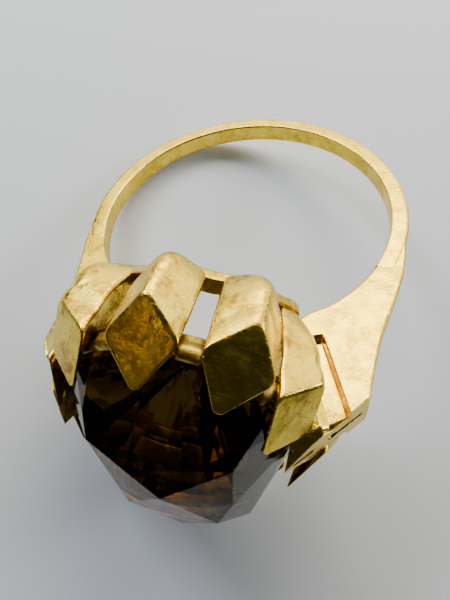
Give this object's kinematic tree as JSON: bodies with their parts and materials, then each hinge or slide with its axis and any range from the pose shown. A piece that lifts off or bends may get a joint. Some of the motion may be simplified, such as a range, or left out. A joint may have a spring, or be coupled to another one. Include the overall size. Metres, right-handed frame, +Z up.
{
  "type": "cocktail ring",
  "caption": "Yellow gold cocktail ring lying on its side, with an open basket of diamond-ended prongs holding one tall faceted smoky quartz.",
  "frame": {"origin": "centre of the bounding box, on the surface that the ring lies on", "axes": "+Z up from the surface, +Y away from the stone towards the back of the hoop, +X across the hoop"},
  "size_m": [0.019, 0.027, 0.0139],
  "materials": {
    "polished_gold": "polished yellow gold with fine scratches",
    "basket_gold": "polished yellow gold, scratched and lightly tarnished",
    "seat_gold": "darker, rough yellow gold in the recesses",
    "smoky_quartz": "faceted, polished, clear dark brown"
  },
  "bodies": {
    "root": {"stone": "smoky_quartz", "shank": "polished_gold", "shoulder_left": "polished_gold", "shoulder_right": "polished_gold", "gallery_ring": "basket_gold", "seat_ring_lower": "seat_gold", "seat_ring_upper": "seat_gold", "prong_01": "basket_gold", "prong_02": "basket_gold", "prong_03": "basket_gold", "prong_04": "basket_gold", "prong_05": "basket_gold", "prong_06": "basket_gold", "prong_07": "basket_gold", "prong_08": "basket_gold", "prong_09": "basket_gold", "prong_10": "basket_gold", "claw_01": "seat_gold", "claw_02": "seat_gold", "claw_03": "seat_gold", "claw_04": "seat_gold", "claw_05": "seat_gold", "claw_06": "seat_gold", "claw_07": "seat_gold", "claw_08": "seat_gold", "claw_09": "seat_gold", "claw_10": "seat_gold", "claw_11": "seat_gold"}
  },
  "joints": []
}
